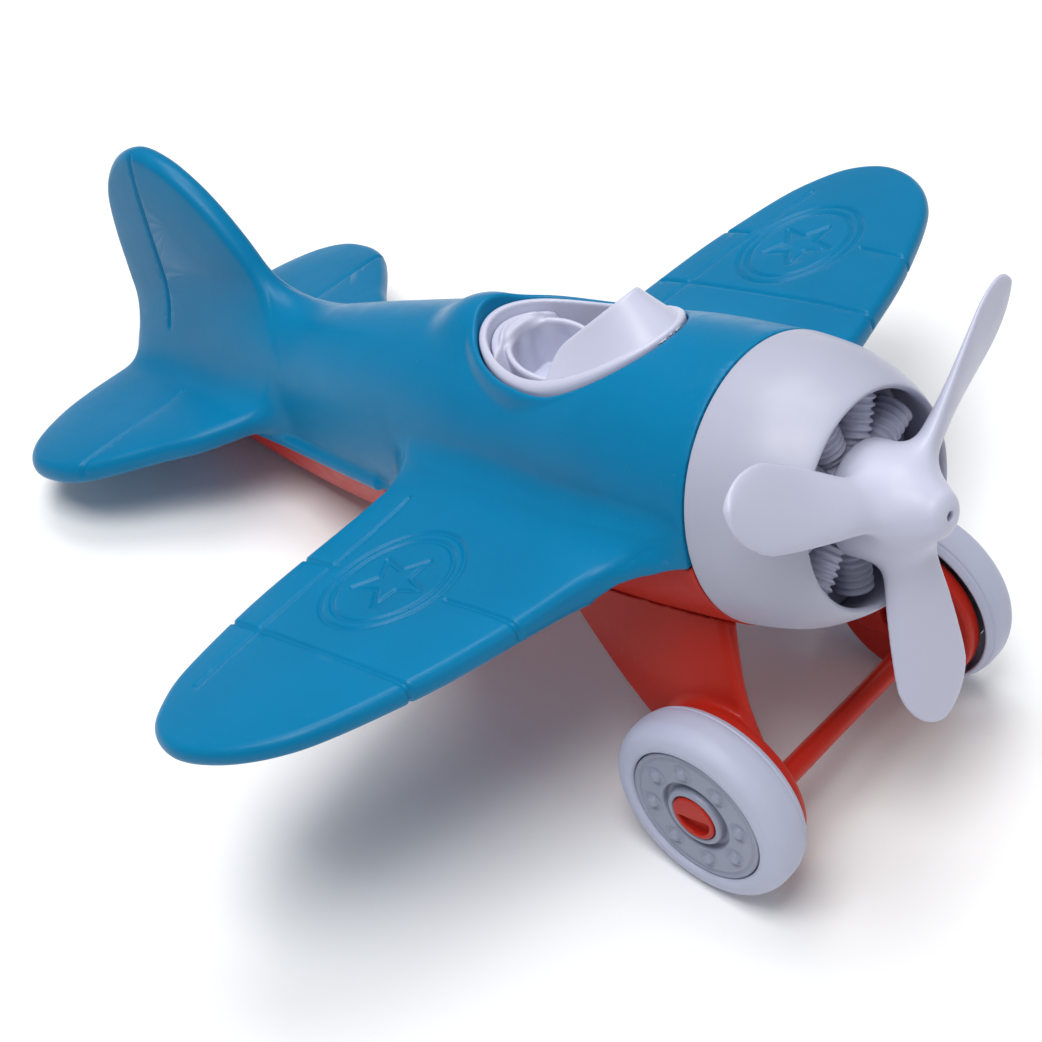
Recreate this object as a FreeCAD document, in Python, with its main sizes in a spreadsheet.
import FreeCAD, Part
import math
import os

import Sketcher
from FreeCAD import Placement, Rotation, Vector

# A toddler's low-wing radial-engine toy airplane in moulded plastic, in millimetres.
# The pieces are drawn in the airplane's own axes: +X along the thrust line to the nose, +Y to
# the left wing, +Z up, with the origin at the centre of the cowling's rear edge.  The whole
# airplane is then tipped nose-up onto its wheels and tail, the way it stands on a floor.

doc = FreeCAD.newDocument("toy_airplane")
sheet = doc.addObject("Spreadsheet::Sheet", "Sizes")

SIZES = {
    # fuselage and shells
    "wall": 2.4,
    "seam_gap": 0.4,
    "rest_station": 192.0,
    "rest_depth": 21.6,
    # wing, tailplane and fin
    "half_span": 120.0,
    "tail_half_span": 58.6,
    "tail_level": -2.5,
    "tail_thickness": 7.5,
    "fin_thickness": 7.0,
    # cockpit
    "cockpit_station": 45.0,
    "cockpit_half_length": 25.2,
    "cockpit_half_width": 19.7,
    "tub_wall": 2.0,
    "tub_floor": 10.0,
    "rim_stand": 0.8,
    "rim_level": 31.0,
    "rim_side_drop": 7.6,
    # cowling and engine
    "cowl_radius": 31.0,
    "cowl_length": 24.0,
    "mouth_radius": 22.4,
    "cowl_wall": 2.6,
    "spigot_radius": 27.4,
    "spigot_length": 6.0,
    "plate_station": 7.5,
    "plate_thickness": 2.2,
    "crankcase_radius": 10.0,
    "crankcase_front": 19.6,
    "cylinder_station": 15.0,
    "cylinder_radius": 3.0,
    "cylinder_top": 21.6,
    "fin_radius": 4.0,
    # propeller
    "prop_station": 28.3,
    "prop_radius": 52.3,
    "hub_radius": 12.0,
    "hub_rear": 20.2,
    "spinner_tip": 41.0,
    "shaft_radius": 2.5,
    "bore_radius": 2.56,
    # undercarriage and wheels
    "wheel_station": -5.9,
    "wheel_level": -58.1,
    "wheel_offset": 38.3,
    "tyre_radius": 22.4,
    "tyre_half_width": 6.4,
    "tyre_wall": 1.8,
    "rim_radius": 16.4,
    "disc_face": 5.7,
    "disc_web": 2.6,
    "hub_ring_radius": 7.0,
    "axle_radius": 3.0,
    "axle_bore": 3.06,
    "axle_head_radius": 5.4,
    "foot_radius": 19.0,
    "foot_inner": 30.2,
    "foot_outer": 34.4,
    "leg_outer": 31.5,
    "bar_station": 1.5,
    "bar_level": -61.0,
    "bar_radius": 2.6,
    # push-in pins under the belly
    "pin_radius": 1.9,
    "pin_fit": 0.04,
    "pin_head_radius": 3.2,
    "boss_radius": 4.2,
}
for row, (alias, number) in enumerate(SIZES.items(), start=1):
    sheet.set(f"A{row}", alias)
    sheet.set(f"B{row}", str(number))
    sheet.setAlias(f"B{row}", alias)
doc.recompute()


class Dim:
    """A number together with the sheet expression that drives it."""

    def __init__(self, number, text):
        self.number = number
        self.text = text

    def __float__(self):
        return float(self.number)

    def join(self, other, sign, number):
        text = other.text if isinstance(other, Dim) else repr(float(other))
        return Dim(number, f"({self.text} {sign} {text})")

    def __add__(self, other):
        return self.join(other, "+", self.number + float(other))

    def __sub__(self, other):
        return self.join(other, "-", self.number - float(other))

    def __mul__(self, other):
        return self.join(other, "*", self.number * float(other))

    def __neg__(self):
        return Dim(-self.number, f"(-1 * {self.text})")


def dim(alias):
    return Dim(float(sheet.get(alias)), f"Sizes.{alias}")


def size(alias):
    return float(sheet.get(alias))


# ---------------------------------------------------------------- rest attitude
# The floor touches both tyres and the tail's underside at the rest point.
run = size("wheel_station") + size("rest_station")
drop = size("wheel_level") + size("rest_depth")
NOSE_UP = math.asin(size("tyre_radius") / math.hypot(run, drop)) - math.atan2(drop, run)
FLOOR = (size("wheel_station") * math.sin(NOSE_UP) + size("wheel_level") * math.cos(NOSE_UP)
         - size("tyre_radius"))
TIP = Rotation(Vector(0, 1, 0), -math.degrees(NOSE_UP))

parts = []          # every sub-part, in the order it was made
local_places = {}   # Label -> Placement inside the airplane's own axes


def keep(obj, label, local=Placement()):
    obj.Label = label
    parts.append(obj)
    local_places[label] = local
    return obj


def solid(label, shape, local=Placement()):
    """A sub-part whose shape Part's own functions have made."""
    feature = doc.addObject("Part::Feature", label)
    feature.Shape = shape
    return keep(feature, label, local)


# ---------------------------------------------------------------- sketch helpers
def new_body(label, local=Placement()):
    return keep(doc.addObject("PartDesign::Body", label), label, local)


def sketch_on(body, role, name):
    sketch = body.newObject("Sketcher::SketchObject", name)
    plane = next(f for f in body.Origin.OriginFeatures if f.Role == role)
    sketch.AttachmentSupport = [(plane, "")]
    sketch.MapMode = "FlatFace"
    return sketch


def outline(sketch, corners):
    """A closed outline of straight lines, each corner driven by the sheet."""
    points = [Vector(float(a), float(b), 0) for a, b in corners]
    count = len(points)
    for i in range(count):
        sketch.addGeometry(Part.LineSegment(points[i], points[(i + 1) % count]), False)
    for i in range(count):
        sketch.addConstraint(Sketcher.Constraint("Coincident", i, 2, (i + 1) % count, 1))
    for i, corner in enumerate(corners):
        for kind, value, axis in (("DistanceX", corner[0], -2), ("DistanceY", corner[1], -1)):
            if abs(float(value)) < 1e-9:
                sketch.addConstraint(Sketcher.Constraint("PointOnObject", i, 1, axis))
                continue
            rule = Sketcher.Constraint(kind, -1, 1, i, 1, float(value))
            number = sketch.addConstraint(rule)
            if isinstance(value, Dim):
                sketch.setExpression(f"Constraints[{number}]", value.text)


def revolved(body, role, corners, name="turned"):
    """A full turn of an outline about its sketch's horizontal axis."""
    sketch = sketch_on(body, role, name + "_outline")
    outline(sketch, corners)
    turn = body.newObject("PartDesign::Revolution", name)
    turn.Profile = sketch
    turn.ReferenceAxis = (sketch, ["H_Axis"])
    turn.Angle = 360
    doc.recompute()
    return turn


def rounded(body, base, edges, radius, name):
    fillet = body.newObject("PartDesign::Fillet", name)
    fillet.Base = (base, edges)
    fillet.Radius = float(radius)
    if isinstance(radius, Dim):
        fillet.setExpression("Radius", radius.text)
    doc.recompute()
    return fillet


def ring_edges(feature, axis, radius, places=None, tol=0.05):
    """Names of the full circles of one radius about an axis, at the given places along it."""
    names = []
    for i, edge in enumerate(feature.Shape.Edges, start=1):
        if not hasattr(edge.Curve, "Radius") or abs(edge.Curve.Radius - float(radius)) > tol:
            continue
        along = edge.Curve.Center.dot(axis)
        if places is None or any(abs(along - float(p)) < tol for p in places):
            names.append(f"Edge{i}")
    return names


X_AXIS, Y_AXIS, Z_AXIS = Vector(1, 0, 0), Vector(0, 1, 0), Vector(0, 0, 1)

# ---------------------------------------------------------------- fuselage form
# Stations back from the cowling: (x, top, widest level, bottom, half width).
STATIONS = (
    (4.0, 30.2, 0.0, -30.6, 30.4),
    (-30.0, 31.4, -1.0, -33.0, 30.8),
    (-72.0, 30.6, -3.0, -34.6, 28.4),
    (-112.0, 25.0, -4.5, -34.0, 21.8),
    (-148.0, 19.4, -6.0, -31.0, 16.2),
    (-180.0, 14.0, -7.5, -25.2, 11.4),
    (-205.0, 8.0, -7.0, -17.2, 7.4),
    (-221.0, 1.0, -6.0, -10.0, 4.0),
)


def fuselage_section(x, top, level, bottom, half, inset, steps=16):
    """An egg-shaped ring: two half ellipses that meet at the widest level."""
    ring = []
    for k in range(steps):
        a = 2 * math.pi * k / steps
        rise = (top if math.sin(a) > 0 else 2 * level - bottom) - level - inset
        ring.append(Vector(x, (half - inset) * math.cos(a), level + rise * math.sin(a)))
    curve = Part.BSplineCurve()
    curve.interpolate(ring, PeriodicFlag=True)
    return Part.Wire(curve.toShape())


def fuselage(inset, front, back):
    rows = [row for row in STATIONS if row[0] >= back]
    form = Part.makeLoft([fuselage_section(*row, inset) for row in rows], True, False)
    nose = Part.makeBox(200, 200, 200, Vector(front, -100, -100))
    return form.cut(nose)


def below(points, half_width=100.0, depth=90.0):
    """Everything under a line of (x, z) points that runs from nose to tail."""
    first, last = points[0], points[-1]
    corners = [Vector(x, -half_width, z) for x, z in points]
    corners += [Vector(last[0], -half_width, -depth), Vector(first[0], -half_width, -depth)]
    face = Part.Face(Part.makePolygon(corners + corners[:1]))
    return face.extrude(Vector(0, 2 * half_width, 0))


def seam_line(shift):
    """The joint between the blue upper body and the red belly, seen from the side."""
    return [(20, -1 + shift), (0, -1.5 + shift), (-27, -14 + shift), (-170, -14 + shift),
            (-235, -5 + shift)]


outer_form = fuselage(0.0, -size("seam_gap"), -230)
inner_form = fuselage(size("wall"), 0.0, -210)


# ---------------------------------------------------------------- flying surfaces
def through(points):
    curve = Part.BSplineCurve()
    curve.interpolate([Vector(*p) for p in points])
    return curve.toShape()


def closed_face(points):
    """A smooth edge through the points, closed by one straight line."""
    smooth = through(points)
    close = Part.makeLine(Vector(*points[-1]), Vector(*points[0]))
    return Part.Face(Part.Wire([smooth, close]))


def inward(points, inset):
    """The same outline moved in by one distance, each point square to its neighbours' line."""
    moved = []
    for i, (x, out) in enumerate(points):
        (x0, out0), (x1, out1) = points[max(i - 1, 0)], points[min(i + 1, len(points) - 1)]
        reach = math.hypot(x1 - x0, out1 - out0)
        moved.append((x - inset * (out1 - out0) / reach, out + inset * (x1 - x0) / reach))
    return moved


def plan_view(points):
    """A vertical prism over one right-hand panel's outline, as (x, distance out) points."""
    face = closed_face([(x, -out, -60) for x, out in points])
    return face.extrude(Vector(0, 0, 120))


def mirrored(shape):
    return shape.mirror(Vector(0, 0, 0), Y_AXIS)


SPAN = size("half_span")
WING_PLAN = ((-14.5, 0), (-14.6, 36), (-15.6, 54), (-23.8, 80), (-34.8, 104.5),
             (-58, SPAN), (-74.5, 108.5), (-83.4, 82), (-86.6, 54), (-86.6, 30), (-86.6, 0))
WING_TOP = ((0, 20), (18, 17.5), (31, 8.4), (46, 5.6), (78, 5.6), (SPAN + 5, 6.2))
WING_BASE = ((0, -14), (30, -13.6), (46, -11.6), (78, -7.4), (SPAN + 5, -2.6))


def wing_blank(top_cut=0.0, base_drop=0.0):
    """The wing's front-view form, swept along the whole chord."""
    top = through([(20, -out, z - top_cut) for out, z in WING_TOP])
    base = through([(20, -out, z - base_drop) for out, z in WING_BASE])
    ends = [Part.makeLine(a.valueAt(t), b.valueAt(t))
            for a, b, t in ((top, base, top.FirstParameter), (top, base, top.LastParameter))]
    face = Part.Face(Part.Wire(Part.__sortEdges__([top, base] + ends)))
    return face.extrude(Vector(-140, 0, 0))


def outer_edges(shape, root):
    """The long edges round a panel, without its root."""
    picked = []
    for edge in shape.Edges:
        box = edge.BoundBox
        if box.YMin < -root and box.ZLength < 30 and box.YLength > 10:
            picked.append(edge)
    return picked


wing = plan_view(WING_PLAN).common(wing_blank())
wing = wing.makeFillet(3.9, outer_edges(wing, 60))

# Each panel is a closed form with one sealed cavity from its root to near the tip.
hollow_root = 33.0
hollow = plan_view(inward(WING_PLAN, 4.0)).common(wing_blank(size("wall"), -size("wall")))
hollow = hollow.cut(Part.makeBox(400, 60, 200, Vector(-300, -hollow_root, -100)))

TAIL_SPAN = size("tail_half_span")
TAIL_PLAN = ((-144, 0), (-147, 18), (-155, 34), (-168.5, 48), (-191, TAIL_SPAN),
             (-209, 50), (-214.5, 34), (-215.5, 18), (-215, 0))
tail_mid, tail_half = size("tail_level"), size("tail_thickness") / 2
slab = Part.makeBox(100, 80, 2 * tail_half, Vector(-230, -80, tail_mid - tail_half))
tailplane = plan_view(TAIL_PLAN).common(slab)
tailplane = tailplane.makeFillet(3.2, outer_edges(tailplane, 30))

FIN_SIDE = ((-219.5, -4), (-217.2, 17), (-210, 43), (-191, 58.5), (-171, 50.5), (-159, 34.5),
            (-151, 21), (-136, 12))
fin_half = size("fin_thickness") / 2
fin_blank = closed_face([(x, -fin_half, z) for x, z in FIN_SIDE])
fin = fin_blank.extrude(Vector(0, 2 * fin_half, 0))
fin = fin.makeFillet(3.0, [e for e in fin.Edges if e.BoundBox.ZLength > 30 and e.BoundBox.ZMax > 50])

# ---------------------------------------------------------------- cockpit forms
mid_x = -size("cockpit_station")


def oval(half_length, half_width, low, high):
    """An upright oval block round the cockpit's centre."""
    ellipse = Part.Ellipse(Vector(mid_x, 0, low), half_length, half_width)
    return Part.Face(Part.Wire(ellipse.toShape())).extrude(Vector(0, 0, high - low))


long_half, wide_half = size("cockpit_half_length"), size("cockpit_half_width")
cut_out = oval(long_half, wide_half, 0, 60)
# The headrest is the swelling just behind the cockpit.
headrest = Part.makeSphere(1.0)
stretch = FreeCAD.Matrix()
stretch.scale(15, 12, 11)
headrest = headrest.transformGeometry(stretch)
headrest.translate(Vector(-78, 0, 20.8))

# ---------------------------------------------------------------- upper body (blue)
upper = outer_form.fuse([wing, mirrored(wing), tailplane, mirrored(tailplane), fin, headrest])
upper = upper.cut(below(seam_line(0.0), half_width=31.5))
upper = upper.cut([inner_form, hollow, mirrored(hollow), cut_out])
upper = upper.cut(Part.makeBox(60, 120, 120, Vector(-size("seam_gap"), -60, -60)))

BOSSES = [(-15, 7), (-15, -7), (-102, 10), (-102, -10)]
boss_top = 24.0
boss_foot = -20.0
for x, y in BOSSES:
    post = Part.makeCylinder(size("boss_radius"), boss_top + 16 - boss_foot, Vector(x, y, boss_foot))
    post = post.common(fuselage(size("wall") - 0.4, 0.0, -210))
    upper = upper.fuse(post)
for x, y in BOSSES:
    upper = upper.cut(Part.makeCylinder(size("pin_radius") + size("pin_fit"), 14,
                                        Vector(x, y, boss_foot)))
solid("upper_body", upper.removeSplitter())

# ---------------------------------------------------------------- belly (red)
belly = outer_form.common(below(seam_line(-0.3)))
belly = belly.cut(inner_form)
for x, y in BOSSES:
    pad = Part.makeCylinder(size("boss_radius") + 0.4, 30, Vector(x, y, boss_foot - 30))
    belly = belly.fuse(pad.common(outer_form))
floor_cut = Part.makeBox(400, 200, 60, Vector(-350, -100, -60 + FLOOR))
floor_cut.Placement = Placement(Vector(), TIP.inverted()).multiply(floor_cut.Placement)
head_seat = -26.2
for x, y in BOSSES:
    belly = belly.cut(Part.makeCylinder(size("pin_radius") + 0.15, 40, Vector(x, y, -50)))
    belly = belly.cut(Part.makeCylinder(size("pin_head_radius") + 0.2, 30,
                                        Vector(x, y, head_seat - 30)))
for side in (1, -1):
    wing_clear = wing if side < 0 else mirrored(wing)
    belly = belly.cut(wing_clear)
    belly = belly.cut(tailplane if side < 0 else mirrored(tailplane))
belly = belly.cut(floor_cut)
solid("belly", belly.removeSplitter())

pins = []
for x, y in BOSSES:
    shank = Part.makeCylinder(size("pin_radius"), 13.5 + boss_foot - head_seat,
                              Vector(x, y, head_seat))
    head = Part.makeCylinder(size("pin_head_radius"), 1.6, Vector(x, y, head_seat - 1.6))
    pins.append(shank.fuse(head).removeSplitter())
solid("belly_pins", Part.makeCompound(pins))

# ---------------------------------------------------------------- cockpit tub, windshield, seat
skin = fuselage(-size("rim_stand"), 0.0, -230)
tub_gap = 0.3
block = oval(long_half - tub_gap, wide_half - tub_gap, size("tub_floor") - size("tub_wall"), 60)
well = oval(long_half - tub_gap - size("tub_wall"), wide_half - tub_gap - size("tub_wall"),
            size("tub_floor"), 60)
tub = block.common(skin).cut(well)
solid("cockpit_tub", tub.removeSplitter())

def screen_ring(rise, inset, steps=24):
    """An oval line on the windshield, which leans inwards by 45 degrees all the way round."""
    reach = tub_gap + inset + rise
    ring = []
    for k in range(steps):
        a = 2 * math.pi * k / steps
        level = size("rim_level") - size("rim_side_drop") * math.sin(a) ** 2
        ring.append(Vector(mid_x + (long_half - reach) * math.cos(a),
                           (wide_half - reach) * math.sin(a), level + rise))
    curve = Part.BSplineCurve()
    curve.interpolate(ring, PeriodicFlag=True)
    return curve.toShape()


screen_wall = size("tub_wall") * math.sqrt(2)
rings = [screen_ring(rise, inset) for rise, inset in
         ((-3, 0.0), (12, 0.0), (12, screen_wall), (-3, screen_wall))]
faces = [Part.makeRuledSurface(rings[k], rings[(k + 1) % 4]) for k in range(4)]
strip = Part.makeSolid(Part.makeShell([face for form in faces for face in form.Faces]))
if strip.Volume < 0:
    strip.reverse()
screen_top = below([(20, 71.2), (-38, 33.4), (-41, 29.5), (-41.6, 24), (-42, 10)])
screen = strip.common(screen_top).cut(skin)
solid("windshield", max(screen.Solids, key=lambda piece: piece.Volume))

seat_x, seat_r, seat_rim, seat_wall = -56.0, 9.5, 25.5, 1.8
seat_low = size("tub_floor")
bucket = Part.makeCylinder(seat_r, seat_rim - seat_low, Vector(seat_x, 0, seat_low))
bucket = bucket.common(below([(0, 16.5), (-46, 17.5), (-60, 25.0), (-90, 26)]))
pillow = oval(long_half - 2.8, wide_half - 2.8, seat_low, 28.5)
pillow = pillow.common(Part.makeBox(7.4, 24, 40, Vector(-68.4, -12, 0)))
well_in_seat = Part.makeCylinder(seat_r - seat_wall, 40, Vector(seat_x, 0, seat_low + 4.0))
seat = bucket.fuse(pillow).cut(well_in_seat)
solid("pilot_seat", seat.removeSplitter())

# ---------------------------------------------------------------- cowling (grey)
cowl = new_body("cowling")
radius, long, mouth, thick = (dim(a) for a in
                              ("cowl_radius", "cowl_length", "mouth_radius", "cowl_wall"))
spigot = dim("spigot_radius")
spigot_end = -dim("spigot_length")
turned = revolved(cowl, "XZ_Plane", [
    (0, radius), (long * 0.42, radius), (long * 0.8, radius - 3.6), (long, mouth + 1.2),
    (long, mouth), (long - 2.4, mouth), (long * 0.72, radius - 3.6 - thick),
    (long * 0.36, radius - thick), (2.0, radius - thick), (0, spigot - 2.0),
    (spigot_end, spigot - 2.0), (spigot_end, spigot), (0, spigot)])
front = rounded(cowl, turned, ring_edges(turned, X_AXIS, radius, [long * 0.42]), 14, "shoulder")
front = rounded(cowl, front, ring_edges(front, X_AXIS, radius - 3.6, [long * 0.8]), 6, "curl")

# ---------------------------------------------------------------- engine (grey)
face, depth = size("plate_station"), size("plate_thickness")
crank = Part.makeCylinder(size("crankcase_radius"), size("crankcase_front") - face,
                          Vector(face, 0, 0), X_AXIS)
crank = crank.makeFillet(2.0, [e for e in crank.Edges
                               if abs(e.BoundBox.XMin - size("crankcase_front")) < 0.01
                               and e.BoundBox.YLength > 5])
plate = Part.makeCylinder(radius.number - thick.number - 0.7, depth, Vector(face, 0, 0), X_AXIS)
engine_bits = [plate]
CYLINDERS = 9
for k in range(CYLINDERS):
    angle = math.radians(20 + 360 * k / CYLINDERS)
    ray = Vector(0, math.cos(angle), math.sin(angle))
    centre = Vector(size("cylinder_station"), 0, 0)
    barrel = Part.makeCylinder(size("cylinder_radius"), size("cylinder_top") - 4, centre + ray * 4, ray)
    engine_bits.append(barrel)
    for step in range(6):
        start = centre + ray * (11.4 + 1.9 * step)
        engine_bits.append(Part.makeCylinder(size("fin_radius"), 1.0, start, ray))
engine = crank.fuse(engine_bits)
engine = engine.cut(Part.makeCylinder(size("bore_radius"), 60, Vector(-10, 0, 0), X_AXIS))
solid("engine", engine.removeSplitter())

# ---------------------------------------------------------------- propeller group (grey)
BLADE = (  # distance out, half chord, half thickness, pitch in degrees
    (5.0, 4.2, 3.4, 38), (13.0, 4.6, 2.4, 34), (24.0, 6.8, 1.7, 27), (36.0, 8.3, 1.4, 21),
    (45.0, 7.2, 1.2, 17), (50.0, 4.8, 1.0, 15), (size("prop_radius"), 1.8, 0.7, 14))


def blade_ring(out, chord, thickness, pitch):
    """A thin oval across the blade, square to its length."""
    ellipse = Part.Ellipse(Vector(0, 0, 0), chord, thickness)
    wire = Part.Wire(ellipse.toShape())
    wire.rotate(Vector(), Z_AXIS, 90)
    wire.rotate(Vector(), Z_AXIS, pitch)
    wire.translate(Vector(size("prop_station") + 0.4, 0, out))
    return wire


one_blade = Part.makeLoft([blade_ring(*row) for row in BLADE], True, False)
hub_r, rear, tip = size("hub_radius"), size("hub_rear"), size("spinner_tip")
nose_curve = Part.BSplineCurve()
nose_curve.interpolate([Vector(tip, 0, 2.6), Vector(tip - 5.5, 0, 7.3), Vector(rear + 8, 0, hub_r - 0.9),
                        Vector(rear + 2, 0, hub_r)])
side = [nose_curve.toShape(),
        Part.makeLine(Vector(rear + 2, 0, hub_r), Vector(rear, 0, hub_r)),
        Part.makeLine(Vector(rear, 0, hub_r), Vector(rear, 0, 0)),
        Part.makeLine(Vector(rear, 0, 0), Vector(tip, 0, 0)),
        Part.makeLine(Vector(tip, 0, 0), Vector(tip, 0, 2.6))]
spinner = Part.Face(Part.Wire(side)).revolve(Vector(), X_AXIS, 360)
BLADE_ANGLES = (147.5, 267.5, 27.5)
blades = []
for angle in BLADE_ANGLES:
    copy = one_blade.copy()
    copy.rotate(Vector(), X_AXIS, angle - 90)
    blades.append(copy)
shaft_end = 33.0
propeller = spinner.fuse(blades)
propeller = propeller.cut(Part.makeCylinder(size("shaft_radius"), shaft_end - rear + 1,
                                            Vector(rear - 1, 0, 0), X_AXIS))
propeller = propeller.cut(Part.makeCylinder(0.9, 20, Vector(shaft_end - 1, 0, 0), X_AXIS))
solid("propeller", propeller.removeSplitter())

shaft = new_body("prop_shaft")
pin, neck = dim("shaft_radius"), dim("shaft_radius") - 0.7
plate_back = dim("plate_station")
revolved(shaft, "XZ_Plane", [
    (plate_back - 3.4, 0), (plate_back - 3.4, pin - 0.5), (plate_back - 2.9, pin),
    (plate_back - 1.7, pin), (plate_back - 1.7, neck), (plate_back - 0.4, neck),
    (plate_back - 0.4, pin), (32.8, pin), (32.8, 0)])

clip = new_body("shaft_clip")
revolved(clip, "XZ_Plane", [
    (plate_back - 1.6, neck), (plate_back - 1.6, pin + 2.4), (plate_back - 0.5, pin + 2.4),
    (plate_back - 0.5, neck)])

# ---------------------------------------------------------------- wheels and axles
WHEEL = Vector(size("wheel_station"), 0, size("wheel_level"))
offset = dim("wheel_offset")


def wheel_place(side):
    """The wheel's own frame has +Y pointing outwards, away from the fuselage."""
    turn = Rotation(Z_AXIS, 0 if side > 0 else 180)
    return Placement(WHEEL + Vector(0, side * size("wheel_offset"), 0), turn)


tyre_r, half_tyre, rim = dim("tyre_radius"), dim("tyre_half_width"), dim("rim_radius")
tyre_wall = dim("tyre_wall")
bore, ring, head = dim("axle_bore"), dim("hub_ring_radius"), dim("axle_head_radius")
foot_out = dim("foot_outer")
for name, side in (("right", -1), ("left", 1)):
    tyre = new_body(f"tyre_{name}", wheel_place(side))
    inside = tyre_r - tyre_wall
    turned = revolved(tyre, "YZ_Plane", [
        (-half_tyre, inside), (-half_tyre, tyre_r), (half_tyre, tyre_r), (half_tyre, rim + 0.8),
        (half_tyre - 0.7, rim), (half_tyre - 3.6, rim), (half_tyre - 3.6, rim + 2.0),
        (half_tyre - 5.8, inside)])
    crown = ring_edges(turned, Y_AXIS, tyre_r, [half_tyre])
    rounded(tyre, turned, crown, 4.6, "tread")

    disc = new_body(f"wheel_disc_{name}", wheel_place(side))
    outer_face = dim("disc_face")
    back_face = outer_face - dim("disc_web")
    hub_in = foot_out - offset + 0.4
    turned = revolved(disc, "YZ_Plane", [
        (hub_in, bore), (hub_in, ring - 0.6), (back_face, ring - 0.6), (back_face, rim),
        (outer_face, rim), (outer_face, rim - 0.6), (outer_face - 0.5, rim - 0.9),
        (outer_face - 0.5, rim - 1.3), (outer_face, rim - 1.6), (outer_face, ring + 1.3),
        (outer_face - 1.8, ring + 1.3), (outer_face - 1.8, ring), (outer_face + 0.6, ring),
        (outer_face + 0.6, head + 0.15), (outer_face - 1.7, head + 0.15),
        (outer_face - 1.7, bore)])
    knob_sketch = sketch_on(disc, "XZ_Plane", "knob_circle")
    reach = (float(ring) + float(rim)) / 2
    knob_sketch.addGeometry(Part.Circle(Vector(reach, 0, 0), Z_AXIS, 0.95), False)
    knob_sketch.addConstraint(Sketcher.Constraint("PointOnObject", 0, 3, -1))
    knob_sketch.addConstraint(Sketcher.Constraint("Radius", 0, 0.95))
    place = knob_sketch.addConstraint(Sketcher.Constraint("DistanceX", -1, 1, 0, 3, reach))
    knob_sketch.setExpression(f"Constraints[{place}]", ((ring + rim) * 0.5).text)
    knob_sketch.AttachmentOffset = Placement(Vector(0, 0, -float(outer_face) - 0.45), Rotation())
    knob = disc.newObject("PartDesign::Pad", "knob")
    knob.Profile = knob_sketch
    knob.Length = 1.0
    knob.Reversed = False
    doc.recompute()
    knobs = disc.newObject("PartDesign::PolarPattern", "knobs")
    knobs.Originals = [knob]
    knobs.Axis = (knob_sketch, ["N_Axis"])
    knobs.Angle = 360
    knobs.Occurrences = 8
    disc.Tip = knobs
    doc.recompute()

    axle = new_body(f"axle_{name}", wheel_place(side))
    pin_r = dim("axle_radius")
    foot_in = dim("foot_inner") - offset
    turned = revolved(axle, "YZ_Plane", [
        (foot_in - 1.2, 0), (foot_in - 1.2, pin_r - 0.5), (foot_in - 0.7, pin_r),
        (outer_face - 1.4, pin_r), (outer_face - 1.4, head), (outer_face + 0.8, head),
        (outer_face + 0.8, 0)])
    # The head has a half-moon recess across its lower half.
    moon = sketch_on(axle, "XZ_Plane", "half_moon_outline")
    moon_r = float(head) - 1.3
    moon.addGeometry(Part.ArcOfCircle(Part.Circle(Vector(0, 0, 0), Z_AXIS, moon_r),
                                      math.pi, 2 * math.pi), False)
    moon.addGeometry(Part.LineSegment(Vector(moon_r, 0, 0), Vector(-moon_r, 0, 0)), False)
    moon.addConstraint(Sketcher.Constraint("Coincident", 0, 2, 1, 1))
    moon.addConstraint(Sketcher.Constraint("Coincident", 0, 1, 1, 2))
    moon.addConstraint(Sketcher.Constraint("Coincident", 0, 3, -1, 1))
    moon.addConstraint(Sketcher.Constraint("PointOnObject", 1, 1, -1))
    moon.addConstraint(Sketcher.Constraint("PointOnObject", 1, 2, -1))
    moon_size = moon.addConstraint(Sketcher.Constraint("Radius", 0, moon_r))
    moon.setExpression(f"Constraints[{moon_size}]", (head - 1.3).text)
    moon.AttachmentOffset = Placement(Vector(0, 0, -float(outer_face) - 0.8), Rotation())
    recess = axle.newObject("PartDesign::Pocket", "half_moon")
    recess.Profile = moon
    recess.Length = 0.9
    recess.Reversed = True
    doc.recompute()

# ---------------------------------------------------------------- undercarriage (red)
foot_in_y, foot_out_y = size("foot_inner"), size("foot_outer")


def leg_ring(x_front, x_back, y_inner, y_outer, level):
    """A flat oval across the leg at one level."""
    ellipse = Part.Ellipse(Vector((x_front + x_back) / 2, (y_inner + y_outer) / 2, level),
                           (x_front - x_back) / 2, (y_outer - y_inner) / 2)
    return Part.Wire(ellipse.toShape())


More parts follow.
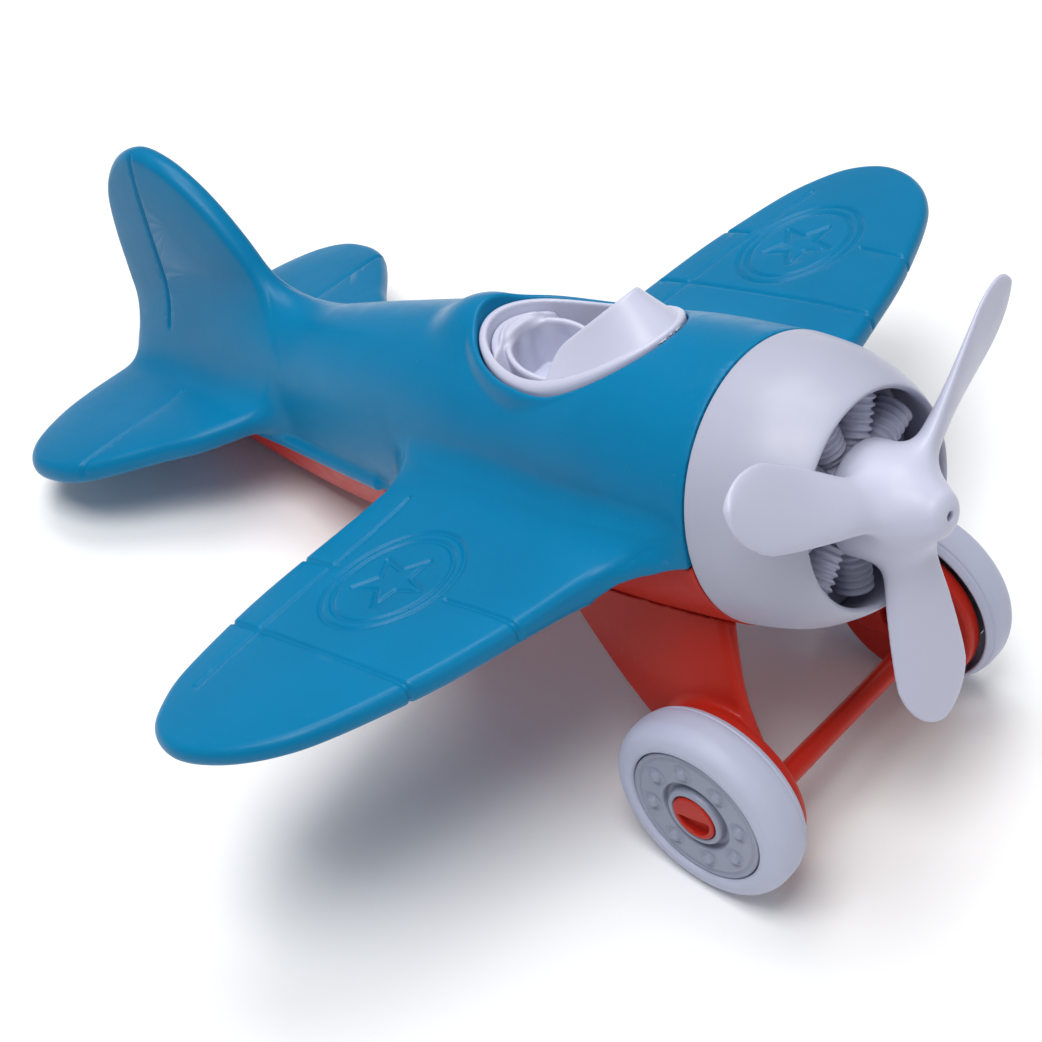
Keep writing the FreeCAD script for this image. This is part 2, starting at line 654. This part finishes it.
def leg_solid():
    sweep = [leg_ring(2.0, -50.0, 8.0, 24.0, -14), leg_ring(1.0, -46.0, 15.0, 26.5, -26),
             leg_ring(3.5, -34.0, 22.5, 30.5, -38), leg_ring(7.2, -21.0, 26.8, 32.4, -52),
             leg_ring(6.0, -17.0, 27.4, 32.6, -60)]
    leg = Part.makeLoft(sweep, True, False)
    leg = leg.cut(Part.makeBox(200, 60, 200, Vector(-100, size("leg_outer"), -100)))
    cowl_clear = Part.makeCylinder(size("cowl_radius") + 0.4, 40, Vector(-0.6, 0, 0), X_AXIS)
    leg = leg.cut(cowl_clear)
    foot = Part.makeCylinder(size("foot_radius"), foot_out_y - foot_in_y,
                             WHEEL + Vector(0, foot_in_y, 0), Y_AXIS)
    leg = leg.fuse(foot)
    leg = leg.cut(outer_form)
    leg = leg.cut(Part.makeCylinder(size("axle_radius"), 60, WHEEL, Y_AXIS))
    socket = Vector(size("bar_station"), 0, size("bar_level"))
    leg = leg.cut(Part.makeCylinder(size("bar_radius"), foot_in_y + 2.0, socket, Y_AXIS))
    return max(leg.Solids, key=lambda piece: piece.Volume).removeSplitter()


left_leg = leg_solid().cut(mirrored(wing))
solid("gear_leg_left", left_leg)
solid("gear_leg_right", mirrored(left_leg).cut(outer_form))

bar = doc.addObject("Part::Cylinder", "crossbar")
bar.setExpression("Radius", "Sizes.bar_radius")
bar.setExpression("Height", "2 * (Sizes.foot_inner + 2.0)")
doc.recompute()
bar_start = Vector(size("bar_station"), foot_in_y + 2.0, size("bar_level"))
keep(bar, "gear_crossbar", Placement(bar_start, Rotation(X_AXIS, 90)))

# ---------------------------------------------------------------- stand it on the floor
doc.recompute()
for part in parts:
    part.Placement = Placement(Vector(), TIP).multiply(local_places[part.Label])
doc.recompute()
boxes = [part.Shape.optimalBoundingBox(False, False) for part in parts]
middle = (min(b.XMin for b in boxes) + max(b.XMax for b in boxes)) / 2
stand = Placement(Vector(-middle, 0, -FLOOR), Rotation())
for part in parts:
    part.Placement = stand.multiply(part.Placement)
doc.recompute()

# ---------------------------------------------------------------- check and write
for obj in doc.Objects:
    if "Invalid" in obj.State or "Error" in obj.State:
        raise RuntimeError(f"{obj.Name} did not recompute: {obj.State}")
os.makedirs("parts", exist_ok=True)
for part in parts:
    if part.Shape.isNull() or not part.Shape.isValid() or not part.Shape.Solids:
        raise RuntimeError(f"{part.Label} has no valid solid")
    print(f"{part.Label}: {len(part.Shape.Solids)} solid(s), {part.Shape.Volume / 1000:.2f} cm3")
for part in parts:
    part.Shape.exportStep(os.path.join("parts", part.Label + ".step"))
print(f"nose-up {math.degrees(NOSE_UP):.2f} deg, shift {-middle:.3f}, {-FLOOR:.3f}")
